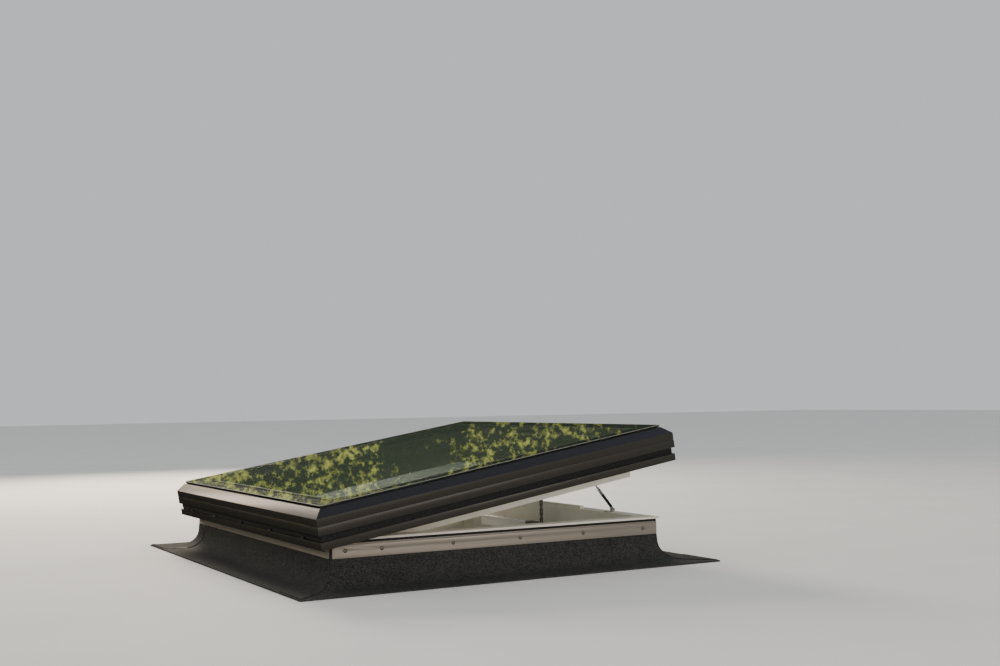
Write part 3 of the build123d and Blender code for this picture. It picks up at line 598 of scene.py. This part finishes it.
def add_world():
    """Pale dome that lights everything. Gloss mirrors a dappled green low down behind the skylight, a
    warm grey in front of it and a pale blue above."""
    world = bpy.data.worlds.new("studio")
    world.use_nodes = True
    tree = world.node_tree
    dome = tree.nodes["Background"]
    dome.inputs["Strength"].default_value = 0.85
    place = {"Vector": (add(tree, "ShaderNodeTexCoord"), "Generated")}
    parts = add(tree, "ShaderNodeSeparateXYZ", links=place)
    blues = ((0.4, "#9ba2a8"), (1.0, "#556c96"))
    above = add(tree, "ShaderNodeValToRGB", links={"Fac": (parts, "Z")}, stops=blues)
    clumps = add(tree, "ShaderNodeTexNoise", {"Scale": 11.0, "Detail": 5.0, "Roughness": 0.6}, place)
    flecks = add(tree, "ShaderNodeTexNoise", {"Scale": 170.0, "Detail": 4.0, "Roughness": 0.7}, place)
    both = {0: (flecks, "Fac"), 1: (clumps, "Fac")}
    dapple = add(tree, "ShaderNodeMath", links=both, operation="MULTIPLY")
    greens = ((0.26, "#424a3d"), (0.36, "#d3da70"))
    green = add(tree, "ShaderNodeValToRGB", links={"Fac": (dapple, "Value")}, stops=greens)
    limits = {"From Min": -0.25, "From Max": 0.25}
    behind = add(tree, "ShaderNodeMapRange", limits, {"Value": (parts, "Y")})
    sides = {"Factor": (behind, "Result"), "B": (green, "Color")}
    low = add(tree, "ShaderNodeMix", {"A": linear("#a09e94")}, sides, data_type="RGBA")
    limits = {"From Min": 0.22, "From Max": 0.40}
    rise = add(tree, "ShaderNodeMapRange", limits, {"Value": (parts, "Z")})
    levels = {"Factor": (rise, "Result"), "A": (low, "Result"), "B": (above, "Color")}
    around = add(tree, "ShaderNodeMix", links=levels, data_type="RGBA")
    greys = {"A": linear("#8e8c83"), "B": linear("#2f2d2a")}
    ground = add(tree, "ShaderNodeMix", greys, {"Factor": (behind, "Result")}, data_type="RGBA")
    limits = {"From Min": -0.02, "From Max": 0.02}
    horizon = add(tree, "ShaderNodeMapRange", limits, {"Value": (parts, "Z")})
    levels = {"Factor": (horizon, "Result"), "A": (ground, "Result"), "B": (around, "Result")}
    mirrored = add(tree, "ShaderNodeMix", links=levels, data_type="RGBA")
    ray = add(tree, "ShaderNodeLightPath")
    both = {0: (ray, "Is Camera Ray"), 1: (ray, "Diffuse Depth")}
    plain = add(tree, "ShaderNodeMath", links=both, operation="MAXIMUM", use_clamp=True)
    kinds = {"Factor": (plain, "Value"), "A": (mirrored, "Result")}
    pale = {"B": linear("#dfe1e3")}
    add(tree, "ShaderNodeMix", pale, kinds, {"Result": (dome, "Color")}, data_type="RGBA")
    bpy.context.scene.world = world


def plain_floor():
    """Matt painted studio floor: even, with a broad faint mottle."""
    light = bpy.context.scene.skylight_studio.floor
    return mottled("studio_floor_matt", "#f1f0ed", light, {"Roughness": 0.8}, 400)


def add_floor():
    """Wide plain floor, a hair below the felt; the object's gloss doesn't mirror it."""
    half = 30.0
    mesh = bpy.data.meshes.new("floor")
    corners = [(-half, -half, 0), (half, -half, 0), (half, half, 0), (-half, half, 0)]
    mesh.from_pydata(corners, [], [(0, 1, 2, 3)])
    floor = bpy.data.objects.new("floor", mesh)
    floor.location.z = -0.5 * MM
    floor.visible_glossy = False
    bpy.context.scene.collection.objects.link(floor)
    coat(floor, plain_floor)


# Details


def islands(name):
    """Middle of each separate solid of a CAD node."""
    mesh = NODES[name].data
    parent = list(range(len(mesh.vertices)))
    merged = {}

    def root(i):
        while parent[i] != i:
            parent[i] = parent[parent[i]]
            i = parent[i]
        return i

    for vertex in mesh.vertices:
        key = tuple(round(v, 6) for v in vertex.co)
        parent[vertex.index] = merged.setdefault(key, vertex.index)
    for edge in mesh.edges:
        a, b = root(edge.vertices[0]), root(edge.vertices[1])
        parent[a] = b
    boxes = {}
    for vertex in mesh.vertices:
        lo, hi = boxes.setdefault(root(vertex.index), ([9.0] * 3, [-9.0] * 3))
        for k in range(3):
            lo[k], hi[k] = min(lo[k], vertex.co[k]), max(hi[k], vertex.co[k])
    return [(Vector(lo) + Vector(hi)) / 2 for lo, hi in boxes.values()]


def strip_screw_seats():
    """Place on the strip's face and direction of each strip screw."""
    lo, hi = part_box("strip_screws")
    seats = []
    for middle in islands("strip_screws"):
        gaps = {
            (-1, 0, 0): middle.x - lo.x, (1, 0, 0): hi.x - middle.x,
            (0, -1, 0): middle.y - lo.y, (0, 1, 0): hi.y - middle.y,
        }
        out = min(gaps, key=gaps.get)
        seats.append((middle + Vector(out) * (gaps[out] - SCREW_HEAD * MM), out))
    return seats


def screw_head():
    """Domed head with a six-lobed recess, from its seat up."""
    dome = [(0.6, 0.6), (5.2, 0.6), (5.3, 0.9), (5.2, 1.15), (4.3, 1.3), (4.15, 1.9), (3.6, 2.5)]
    crown = [(2.8, 2.8), (2.0, 2.9)]
    recess = [(1.9, 2.9), (1.75, 2.5), (1.7, 1.3), (0.3, 1.2)]
    return lathe(dome + crown + recess, 30, lobes=(9, 10, 11))


def pan_head(radius):
    """Pan head of a bracket's screw with a six-lobed recess, from its seat up."""
    k = radius / 3.4
    head = [(0.4, 0.0), (3.4, 0.0), (3.4, 0.9), (3.1, 1.5), (2.4, 1.9), (1.3, 2.0)]
    recess = [(1.2, 1.8), (1.1, 0.9), (0.2, 0.8)]
    return lathe([(r * k, z * k) for r, z in head + recess], 24, lobes=(5, 6, 7))


def flush_head():
    """Countersunk head with a six-lobed recess, its face at the origin."""
    head = [(2.0, -3.4), (2.0, -1.5), (3.4, -0.12), (3.5, -0.02), (3.4, 0.02)]
    recess = [(1.75, 0.02), (1.6, -0.2), (1.45, -1.3), (0.2, -1.4)]
    return lathe(head + recess, 24, lobes=(5, 6, 7))


def sash_ring(name, section, slot, recipe, smooth=False):
    """Section of (depth, height) that runs round the whole sash."""
    points, faces = framed([(d, z + SASH_FLOOR) for d, z in section], SASH_HALF_X, SASH_HALF_Y)
    return new_piece(name, [closed(p) for p in points], faces, "sash", slot, recipe, smooth)


def seated(mesh, seats):
    """As many copies of a mesh in millimetres as there are seats, each a place and a direction."""
    return joined([moved(mesh, upright(out, place)) for place, out in seats])


def add_screws(name, head, seats, body, recipe=stainless_steel):
    """One piece of screw heads on their seats."""
    return new_piece(name, *seated(head, seats), body, "stainless_steel", recipe, smooth=True)


def felt_profile(rise):
    """Weather side of the felt from the strip's foot to the apron's edge, raised by a thickness."""
    lean = atan2(FLARE_LEAN, FLARE_DROP)
    reach = (STRIP_FOOT - FLARE_DROP - FELT) / (1 - sin(lean))
    middle = (STRIP_DEEP - FLARE_LEAN - reach * cos(lean), FELT + reach)
    points = [(STRIP_DEEP - rise, STRIP_FOOT - 0.3)]
    for i in range(17):
        angle = lean + (radians(90) - lean) * i / 16
        points.append((middle[0] + (reach - rise) * cos(angle), middle[1] - (reach - rise) * sin(angle)))
    return points + [(-APRON + 5, FELT + rise)]


def corner_lap(i, j, wide, rise):
    """Felt folded round one corner: the front sheet's end lies on the side sheet."""
    under, over = felt_profile(-0.3), felt_profile(rise)
    section = over + under[::-1]
    corner = []
    end = []
    for depth, height in section:
        x = i * (HALF_X - depth) * MM
        corner.append((x, j * (HALF_Y - depth) * MM, height * MM))
        end.append((x, j * (HALF_Y - wide - 0.2 * depth) * MM, height * MM))
    return loft([corner, end])


def bitumen_bead(i, j, wide, rise):
    """Bitumen pressed out along the lap's free edge."""
    rings = []
    for k, (depth, _) in enumerate(felt_profile(0.0)):
        swell = 1.0 + 0.35 * sin(5.1 * k + i) * cos(2.3 * k + j)
        foot = [(0, -0.4), (3.4 * swell, -0.4)]
        bulge = [(3.0 * swell, 0.5), (1.8 * swell, 0.9 + 0.4 * swell), (0, rise * 0.9)]
        ring = []
        for out, up in foot + bulge:
            lifted = felt_profile(up)[k]
            y = HALF_Y - wide - 0.2 * depth - out
            ring.append((i * (HALF_X - lifted[0]) * MM, j * y * MM, lifted[1] * MM))
        rings.append(ring)
    return loft(rings)


def ridge_between(start, end, width, rise, out, across):
    """Low rounded bead from one point to another on a face, in metres."""
    rows = [(-0.5, -0.1), (-0.35, 0.7), (0.0, 1.0), (0.35, 0.7), (0.5, -0.1)]
    rings = []
    for place in (start, end):
        rings.append([place + across * (u * width * MM) + out * (v * rise * MM) for u, v in rows])
    return loft(rings)


def link_outline(length):
    """Plate of a chain link along Y, its pins a length apart, narrower at its waist."""
    upper = arc(0, length / 2, LINK_END, 0, 180, 10)
    lower = arc(0, -length / 2, LINK_END, 180, 360, 10)
    return upper + [(-LINK_WAIST, 0.0)] + lower + [(LINK_WAIST, 0.0)]


def chain_mesh(lo, hi):
    """Outer and inner links in turn with their rivets, standing on the chain's lowest point."""
    pitch = ((hi.z - lo.z) / MM - 2 * LINK_END) / LINKS
    stand = Matrix.Translation(((lo.x + hi.x) / 2, (lo.y + hi.y) / 2, lo.z + LINK_END * MM))
    across = Matrix.Scale(MM, 4) @ Matrix(((0, 0, 1), (1, 0, 0), (0, 1, 0))).to_4x4()
    meshes = []
    for i in range(LINKS):
        middle = stand @ Matrix.Translation((0, 0, (i + 0.5) * pitch * MM)) @ across
        outline = link_outline(pitch)
        levels = [(-4.45, -2.95), (2.95, 4.45)] if i % 2 == 0 else [(-2.75, -0.2), (0.2, 2.75)]
        for low, high in levels:
            meshes.append(moved(plate(outline, low, high, 0.25), middle))
    rim = [(0.2, 5.05), (1.7, 5.05), (2.2, 4.85), (2.4, 4.5)]
    rivet = lathe([(radius, -height) for radius, height in rim] + rim[::-1], 18)
    for i in range(LINKS + 1):
        level = stand @ Matrix.Translation((0, 0, i * pitch * MM)) @ across
        meshes.append(moved(rivet, level))
    return joined(meshes)


# Operators


class SKYLIGHT_OT_felt(bpy.types.Operator):
    """Bitumen felt over the kerb"""

    bl_idname = "skylight.felt"
    bl_label = "Felt"

    def execute(self, context):
        coat("felt_flashing", mineral_felt)
        coat("cant_fillet", fillet_board)
        wide, rise = sizes().lap_width / MM, sizes().lap_height / MM
        laps = joined([corner_lap(i, j, wide, rise) for i, j in CORNERS])
        new_piece("felt_corner_laps", *laps, "base", "bitumen_felt", mineral_felt)
        beads = joined([bitumen_bead(i, j, wide, rise) for i, j in CORNERS])
        new_piece("bitumen_beads", *beads, "base", "bitumen_felt", bitumen, smooth=True)
        return {"FINISHED"}


class SKYLIGHT_OT_kerb(bpy.types.Operator):
    """White kerb with its frame, core and cover"""

    bl_idname = "skylight.kerb"
    bl_label = "Kerb and frame"

    def execute(self, context):
        for node in ("base_frame", "fixing_flange", "cover_block"):
            coat(node, white_plastic)
            soften(node, 0.5)
        coat("frame_insulation", mineral_wool)
        self.add_welds()
        self.add_cover_caps()
        return {"FINISHED"}

    def add_welds(self):
        """Beads where the frame's mitres are welded: over its top and down its inner corners."""
        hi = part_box("base_frame")[1]
        inner_x, inner_y = HALF_X - FRAME_WIDTH, HALF_Y - FRAME_WIDTH
        width, rise, inset = sizes().weld / MM, 0.3, 1.2
        beads = []
        for i, j in CORNERS:
            across = Vector((i, -j, 0)).normalized()
            tip = Vector((i * (hi.x - inset * MM), j * (hi.y - inset * MM), hi.z))
            root = Vector((i * (inner_x + inset) * MM, j * (inner_y + inset) * MM, hi.z))
            beads.append(ridge_between(root, tip, width, rise, Vector((0, 0, 1)), across))
            inward = Vector((-i, -j, 0)).normalized()
            foot = Vector((i * inner_x * MM, j * inner_y * MM, 5 * MM))
            head = Vector((foot.x, foot.y, hi.z - 1.4 * MM))
            beads.append(ridge_between(foot, head, 2 * width, rise + 0.5, inward, across))
        new_piece("frame_weld_beads", *joined(beads), "base", "white_plastic", weld_plastic, smooth=True)

    def add_cover_caps(self):
        """Two push-in caps over the cover's screws."""
        lo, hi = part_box("cover_block")
        cap = lathe([(0.2, 0.0), (4.4, 0.0), (4.4, 0.35), (4.0, 0.7), (0.2, 0.9)], 30)
        seats = []
        for share in (0.15, 0.85):
            place = Vector(((lo.x + hi.x) / 2, lo.y + share * (hi.y - lo.y), hi.z))
            seats.append((place, (0, 0, 1)))
        caps = seated(cap, seats)
        new_piece("cover_caps", *caps, "base", "white_plastic", weld_plastic, smooth=True)


class SKYLIGHT_OT_strips(bpy.types.Operator):
    """Clamping strips, their screws and the gasket above them"""

    bl_idname = "skylight.strips"
    bl_label = "Clamping strips"

    def execute(self, context):
        for side in SIDES:
            coat("clamp_strip_" + side, strip_aluminium)
            soften("clamp_strip_" + side, 0.35)
        coat("frame_gasket", black_rubber)
        seats = strip_screw_seats()
        heads = add_screws("strip_screw_heads", screw_head(), seats, "base", dull_steel)
        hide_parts("strip_screws")
        washer = lathe([(3.0, 0.0), (5.5, 0.0), (5.6, 0.3), (5.4, 0.62), (3.0, 0.62)], 30, hollow=True)
        washers = seated(washer, seats)
        new_piece("sealing_washers", *washers, "base", "black_rubber", black_rubber, smooth=True)
        return {"FINISHED"}


class SKYLIGHT_OT_sash(bpy.types.Operator):
    """Aluminium frame of the sash and the plastic frame inside it"""

    bl_idname = "skylight.sash"
    bl_label = "Sash"

    def execute(self, context):
        for side in SIDES:
            coat("sash_profile_" + side, dark_powder_coat)
            soften("sash_profile_" + side, 0.7)
        coat("corner_cleats", cast_aluminium)
        coat("sash_lining", white_plastic)
        soften("sash_lining", 0.5)
        self.add_seal()
        # Black strip in the recess: painted shade
        self.add_recess_shade_lining()
        self.add_drain_caps()
        self.add_lining_welds()
        return {"FINISHED"}

    def add_seal(self):
        """Hollow bulb with two fins that grip the lining's nib."""
        depth, level = BULB
        circle = arc(depth, level, 1.0, 200, -20, 18)
        bulb = [(depth + 3.6 * (x - depth), level - 5.0 * (z - level)) for x, z in circle]
        fins = [(63.0, 28.6), (62.4, 30.5), (56.6, 30.5), (56.0, 28.6)]
        seal = sash_ring("bulb_seal", bulb + fins, "black_rubber", black_rubber, smooth=True)
        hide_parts("sash_seal")

    def add_recess_shade_lining(self):
        """Black ribbed strip that lines the recess round the sash: its black is painted shade, standing in
        for the shadow of the overhang in the recess.
        """
        back, groove, rib = 10.05, 8.7, 8.2
        rows = [(back, 21.7), (groove, 22.1)]
        for low in (22.4, 27.0, 31.6, 36.2):
            rows += [(groove, low), (rib, low + 0.5), (rib, low + 3.2), (groove, low + 3.7)]
        rows += [(groove, 40.3), (back, 40.7)]
        # The strip's black is painted shade in the recess, not a lit colour
        sash_ring("recess_shade_lining", rows, "black_rubber", black_rubber)

    def add_drain_caps(self):
        """Small hooded caps over the drain slots, standing on the hinge side's ledge."""
        back, foot = LEDGE
        hood = [(2.2, foot), (2.2, 24.0), (3.4, 26.2), (8.4, 27.4), (back, 27.4), (back, foot)]
        first, count = 142.0, 5
        step = 2 * (SASH_HALF_Y - first) / (count - 1)
        caps = []
        for k in range(count):
            rings = []
            for shift, shrink in ((-10.0, 0.86), (-8.6, 1.0), (8.6, 1.0), (10.0, 0.86)):
                y = -SASH_HALF_Y + first + k * step + shift
                ring = []
                for depth, height in hood:
                    x = back - (back - depth) * shrink - SASH_HALF_X
                    z = foot + (height - foot) * shrink + SASH_FLOOR
                    ring.append(closed((x, y, z)))
                rings.append(ring)
            caps.append(loft(rings))
        new_piece("drain_caps", *joined(caps), "sash", "black_rubber", black_rubber)

    def add_lining_welds(self):
        """Weld beads in the corners of the white frame inside the sash: up its face and under its rim."""
        x, y = SASH_HALF_X - LINING_INNER, SASH_HALF_Y - LINING_INNER
        foot, head, under = SASH_FLOOR - 35.4, SASH_FLOOR + 86.0, SASH_FLOOR - 36.0
        tilt = (closed((0, 0, 1)) - closed((0, 0, 0))).normalized()
        beads = []
        for i, j in CORNERS:
            inward = (closed((0, 0, 0)) - closed((i, j, 0))).normalized()
            across = inward.cross(tilt)
            low, high = closed((i * x, j * y, foot)), closed((i * x, j * y, head))
            beads.append(ridge_between(low, high, 2.4, 0.8, inward, across))
            rim = closed((i * (x + 17), j * (y + 17), under))
            root = closed((i * (x + 1), j * (y + 1), under))
            beads.append(ridge_between(root, rim, 1.5, 0.3, -tilt, across))
        new_piece("lining_weld_beads", *joined(beads), "sash", "white_plastic", weld_plastic, smooth=True)


class SKYLIGHT_OT_glazing(bpy.types.Operator):
    """Stepped double glazing"""

    bl_idname = "skylight.glazing"
    bl_label = "Glazing"

    def execute(self, context):
        coat("outer_pane", clear_glass)
        coat("inner_pane", clear_glass)
        coat("spacer_bar", spacer_aluminium)
        for node in ("edge_sealant", "bonding_tape", "glazing_gasket"):
            coat(node, black_rubber)
        rim, wide = PANE_SET + 0.9, PANE_SET + sizes().enamel / MM
        low, high = PANE_LOW + 0.05, PANE_LOW + 0.15
        band = [(rim, high), (wide, high), (wide, low), (rim, low)]
        sash_ring("enamel_border", band, "black_sealant", black_enamel)
        top = PANE_LOW + PANE
        arris = [(PANE_SET - 0.03, top - 1.7), (PANE_SET - 0.03, top - 0.8), (PANE_SET + 0.7, top - 0.02)]
        arris += [(PANE_SET + 0.9, top), (PANE_SET + 0.4, top - 0.8), (PANE_SET + 0.2, top - 1.7)]
        sash_ring("pane_ground_edge", arris, "clear_glass", ground_edge)
        return {"FINISHED"}


class SKYLIGHT_OT_hinges(bpy.types.Operator):
    """Hinges and their screws"""

    bl_idname = "skylight.hinges"
    bl_label = "Hinges"

    def execute(self, context):
        for node in NODES:
            if node.startswith("hinge_"):
                coat(node, stainless_steel)
                if "_leaf_" in node:
                    soften(node, 0.3)
        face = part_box("hinge_frame_screws")[1].z
        seats = [(Vector((m.x, m.y, face)), (0, 0, 1)) for m in islands("hinge_frame_screws")]
        heads = add_screws("hinge_frame_screw_heads", flush_head(), seats, "base")
        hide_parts("hinge_frame_screws")
        down = (closed((0, 0, 0)) - closed((0, 0, 1))).normalized()
        seats = [(m + down * (0.5 * HINGE_SCREW * MM), down) for m in islands("hinge_sash_screws")]
        heads = add_screws("hinge_sash_screw_heads", flush_head(), seats, "sash")
        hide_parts("hinge_sash_screws")
        return {"FINISHED"}


class SKYLIGHT_OT_chain_lift(bpy.types.Operator):
    """Chain actuator, its chain and its brackets"""

    bl_idname = "skylight.chain_lift"
    bl_label = "Chain lift"

    def execute(self, context):
        coat("actuator_housing", housing_coat)
        coat("actuator_end_cap", moulded_grey)
        coat("chain_outlet", moulded_grey)
        coat("chain_head", chain_steel)
        coat("chain_pin", stainless_steel)
        for node in ("chain_bracket", "actuator_bracket_1", "actuator_bracket_2"):
            coat(node, galvanized_steel)
            soften(node, 0.4)
        for node in ("actuator_end_cap", "chain_outlet"):
            soften(node, 0.5)
        self.add_chain()
        self.add_bracket_screws()
        return {"FINISHED"}

    def add_chain(self):
        """Links of the chain, in place of the CAD chain; they ride on the base."""
        lo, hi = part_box("chain_links")
        chain = new_piece("lift_chain_links", *chain_mesh(lo, hi), "base", "chain_steel", chain_steel)
        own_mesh(chain)
        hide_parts("chain_links")

    def add_bracket_screws(self):
        """Pan heads of the actuator's brackets, the end cap and the chain's bracket."""
        seats = []
        for node in ("actuator_bracket_1", "actuator_bracket_2"):
            lo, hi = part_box(node)
            for share in (0.25, 0.75):
                y = lo.y + share * (hi.y - lo.y)
                seats.append((Vector((hi.x - CRADLE * MM, y, hi.z - 22 * MM)), (-1, 0, 0)))
        lo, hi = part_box("actuator_end_cap")
        for share in (0.25, 0.75):
            place = Vector((lo.x + 0.5 * (hi.x - lo.x), hi.y, lo.z + share * (hi.z - lo.z)))
            seats.append((place, (0, 1, 0)))
        add_screws("actuator_screws", pan_head(2.6), seats, "base")
        inward = (closed((0, 0, 0)) - closed((1, 0, 0))).normalized()
        face = SASH_HALF_X - LINING_INNER - BRACKET_PLATE
        seats = []
        for y in (-17.0, 17.0):
            for z in (-28.0, -4.0):
                seats.append((closed((face, CHAIN_Y + y, SASH_FLOOR + z)), inward))
        add_screws("chain_bracket_screws", pan_head(3.0), seats, "sash")


class SKYLIGHT_OT_gas_spring(bpy.types.Operator):
    """Gas spring with its anchors"""

    bl_idname = "skylight.gas_spring"
    bl_label = "Gas spring"

    def execute(self, context):
        coat("spring_cylinder", black_paint)
        coat("spring_rod", hard_chrome)
        for node in ("spring_rod_end", "spring_foot_stud", "spring_sash_bracket"):
            coat(node, galvanized_steel)
        coat("spring_foot_bracket", zinc_flake)
        for node in ("spring_foot_bracket", "spring_sash_bracket"):
            soften(node, 0.3)
        foot, run = Vector(JOINTS["spring_swing"]["pos_m"]), Vector(JOINTS["spring_stroke"]["axis"])
        mouth = upright(run, foot + run * (SPRING_LENGTH * MM))
        outside = [(2.7, 0.3), (3.4, 0.4), (4.6, 0.1), (5.05, -0.4), (5.05, -33.5)]
        inside = [(4.6, -34.0), (4.6, -0.8), (2.7, 0.0)]
        tube = moved(lathe(outside + inside, 30, hollow=True), mouth)
        new_piece("spring_guide_sleeve", *tube, "spring_cylinder", "black_steel", hard_chrome, smooth=True)
        ring = [(4.6, -33.0), (5.3, -33.2), (5.6, -33.8), (5.6, -38.4), (5.3, -39.0), (4.6, -39.2)]
        crimp = [(4.8, -44.0), (5.2, -44.2), (5.2, -45.8), (4.8, -46.0)]
        rings = joined([moved(lathe(rows, 30, hollow=True), mouth) for rows in (ring, crimp)])
        new_piece("spring_collar", *rings, "spring_cylinder", "black_steel", moulded_grey, smooth=True)
        lo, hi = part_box("spring_foot_bracket")
        seats = []
        for share in (0.14, 0.86):
            place = Vector((lo.x + 6 * MM, lo.y + share * (hi.y - lo.y), lo.z + 2.2 * MM))
            seats.append((place, (0, 0, 1)))
        add_screws("spring_bracket_screws", pan_head(3.0), seats, "base")
        return {"FINISHED"}


class SKYLIGHT_OT_stage(bpy.types.Operator):
    """Floor, light and camera"""

    bl_idname = "skylight.stage"
    bl_label = "Stage"

    def execute(self, context):
        studio = context.scene.skylight_studio
        add_floor()
        add_world()
        add_softbox("key", (0.5, 5.2, 2.7), 1.6, 1.6, studio.key, "#fff0d8")
        add_softbox("rim", (-1.9, 4.7, 1.5), 3.4, 0.8, studio.rim, "#ffe8d0")
        add_softbox("fill", (-0.3, -6.0, 1.6), 4.0, 2.0, studio.fill, "#fff1e6")
        add_camera()
        return {"FINISHED"}


class SKYLIGHT_PT_panel(bpy.types.Panel):
    """Lists the pieces, sizes and colours"""

    bl_label = "Skylight"
    bl_idname = "SKYLIGHT_PT_panel"
    bl_space_type = "VIEW_3D"
    bl_region_type = "UI"
    bl_category = "Skylight"

    def draw(self, context):
        for piece in PIECES:
            self.layout.operator(piece.bl_idname)
        scene = context.scene
        for group in (scene.skylight_sizes, scene.skylight_colours, scene.skylight_studio):
            for name in group.__annotations__:
                self.layout.prop(group, name)


PIECES = (
    SKYLIGHT_OT_felt,
    SKYLIGHT_OT_kerb,
    SKYLIGHT_OT_strips,
    SKYLIGHT_OT_sash,
    SKYLIGHT_OT_glazing,
    SKYLIGHT_OT_hinges,
    SKYLIGHT_OT_chain_lift,
    SKYLIGHT_OT_gas_spring,
    SKYLIGHT_OT_stage,
)
GROUPS = (SkylightSizes, SkylightColours, SkylightStudio)


def register():
    """Registers the classes and hangs the property groups on the scene."""
    for item in GROUPS + PIECES + (SKYLIGHT_PT_panel,):
        bpy.utils.register_class(item)
    bpy.types.Scene.skylight_sizes = PointerProperty(type=SkylightSizes)
    bpy.types.Scene.skylight_colours = PointerProperty(type=SkylightColours)
    bpy.types.Scene.skylight_studio = PointerProperty(type=SkylightStudio)


def unregister():
    """Undoes register."""
    del bpy.types.Scene.skylight_studio
    del bpy.types.Scene.skylight_colours
    del bpy.types.Scene.skylight_sizes
    for item in reversed(GROUPS + PIECES + (SKYLIGHT_PT_panel,)):
        bpy.utils.unregister_class(item)


def main():
    """Builds the skylight and its stage."""
    register()
    for piece in PIECES:
        group, name = piece.bl_idname.split(".")
        getattr(getattr(bpy.ops, group), name)()


if __name__ == "__main__":
    main()
